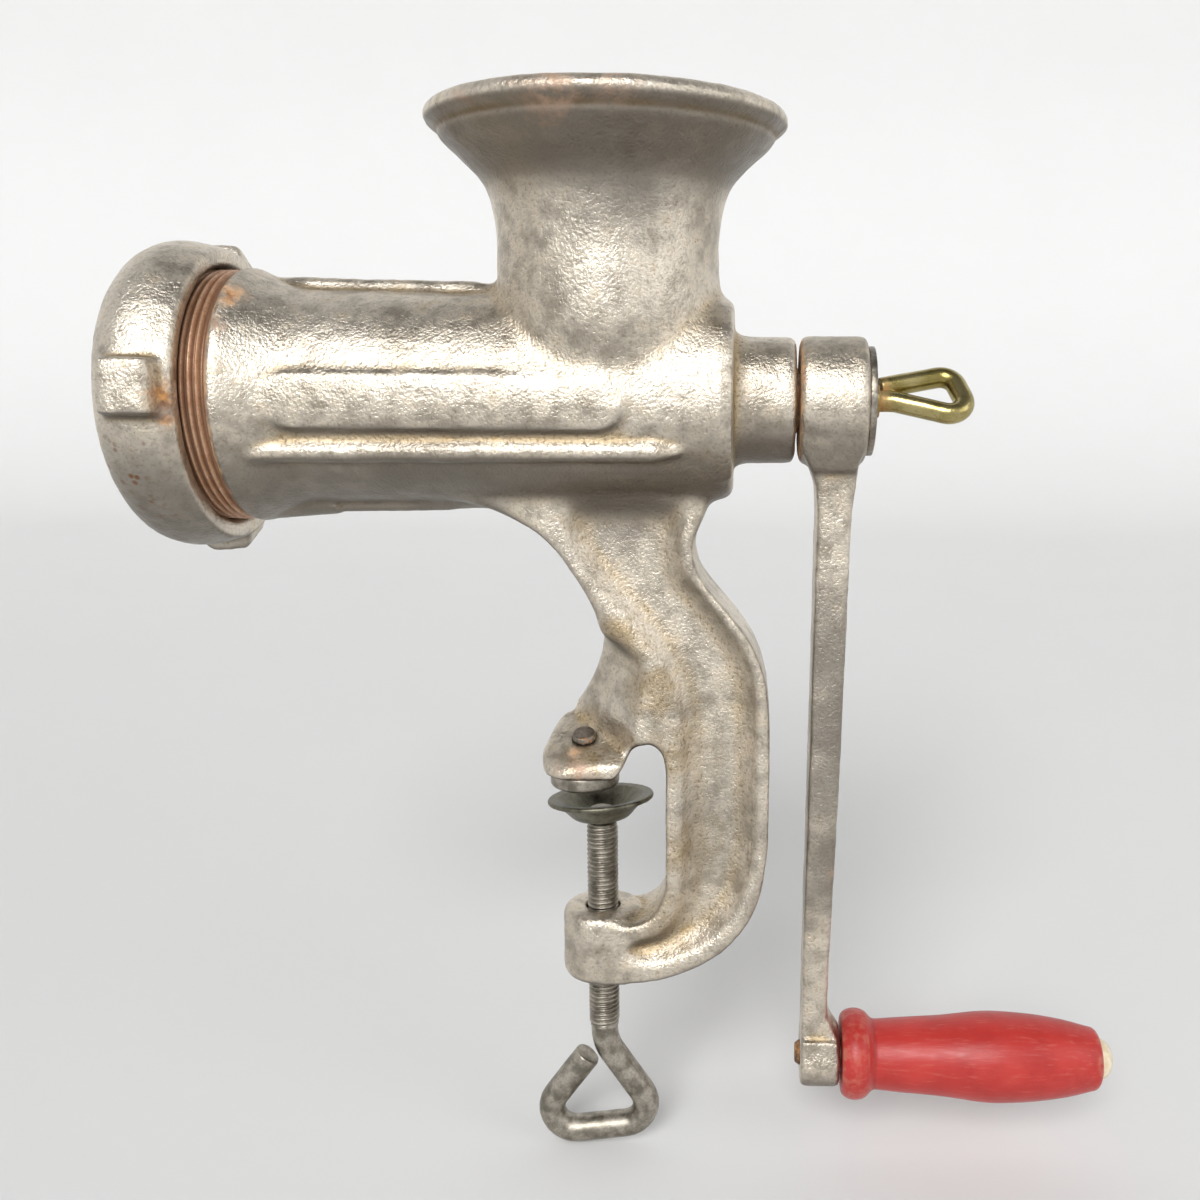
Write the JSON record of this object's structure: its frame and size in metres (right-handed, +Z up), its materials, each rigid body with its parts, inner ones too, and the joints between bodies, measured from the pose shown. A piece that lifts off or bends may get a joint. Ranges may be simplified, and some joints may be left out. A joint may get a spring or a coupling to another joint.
{
  "type": "manual meat grinder",
  "caption": "Table-clamp hand meat grinder: tinned casting with flared hopper, ribbed barrel and screw-on ring, cranked feed screw with knife and plate, red grip and a screw clamp.",
  "frame": {"origin": "centre of the jaw pad's underside, where the foot rests on the table top", "axes": "+X along the barrel towards the crank, +Y away from the panel side, +Z up along the hopper"},
  "size_m": [0.3262, 0.1108, 0.3562],
  "materials": {
    "tinned_casting": "hot-tinned, worn",
    "steel": "aged",
    "dark_steel": "dull",
    "yellow_zinc": "yellow zinc plated",
    "red_wood": "red paint, worn",
    "pale_plug": "pale cream",
    "fibre": "fibre"
  },
  "bodies": {
    "body": {"body_casting": "tinned_casting", "plate_pin": "steel", "jaw_pad": "steel", "jaw_rivet": "dark_steel"},
    "drive": {"feed_screw": "tinned_casting", "knife_stud": "steel", "knife": "steel", "thrust_washer": "fibre", "crank_arm": "tinned_casting", "grip_bolt": "dark_steel"},
    "handle": {"grip": "red_wood", "grip_plug": "pale_plug"},
    "washer": {"crank_washer": "steel"},
    "wing_screw": {"crank_screw": "yellow_zinc"},
    "plate": {"cutting_plate": "steel"},
    "ring": {"ring_nut": "tinned_casting"},
    "cup": {"clamp_cup": "steel"},
    "clamp": {"clamp_screw": "steel"}
  },
  "joints": [
    {"name": "crank_turn", "type": "hinge", "parent": "body", "child": "drive", "pos_m": [0.07, 0, 0.1305], "axis": [1, 0, 0], "continuous": true},
    {"name": "grip_spin", "type": "hinge", "parent": "drive", "child": "handle", "pos_m": [0.13, 0, -0.1007], "axis": [1, 0, 0], "continuous": true},
    {"name": "washer_travel", "type": "slide", "parent": "drive", "child": "washer", "axis": [1, 0, 0], "range_m": [0, 0.005]},
    {"name": "wing_screw_turn", "type": "hinge", "parent": "washer", "child": "wing_screw", "pos_m": [0.1, 0, 0.1305], "axis": [1, 0, 0], "range_deg": [0, 1440]},
    {"name": "plate_travel", "type": "slide", "parent": "body", "child": "plate", "axis": [-1, 0, 0], "range_m": [0, 0.0075]},
    {"name": "ring_turn", "type": "hinge", "parent": "plate", "child": "ring", "pos_m": [-0.125, 0, 0.1305], "axis": [-1, 0, 0], "range_deg": [0, 1080]},
    {"name": "clamp_travel", "type": "slide", "parent": "body", "child": "cup", "axis": [0, 0, 1], "range_m": [-0.027, 0.0045]},
    {"name": "clamp_turn", "type": "hinge", "parent": "cup", "child": "clamp", "pos_m": [0.0058, 0, -0.06], "axis": [0, 0, 1], "range_deg": [-6480, 1080]}
  ],
  "couplings": [
    {"joint": "wing_screw_turn", "follows": "washer_travel", "rad_per_m": 5026.5},
    {"joint": "plate_travel", "follows": "ring_turn", "m_per_rad": 0.00039789},
    {"joint": "clamp_travel", "follows": "clamp_turn", "m_per_rad": 0.00023873}
  ]
}
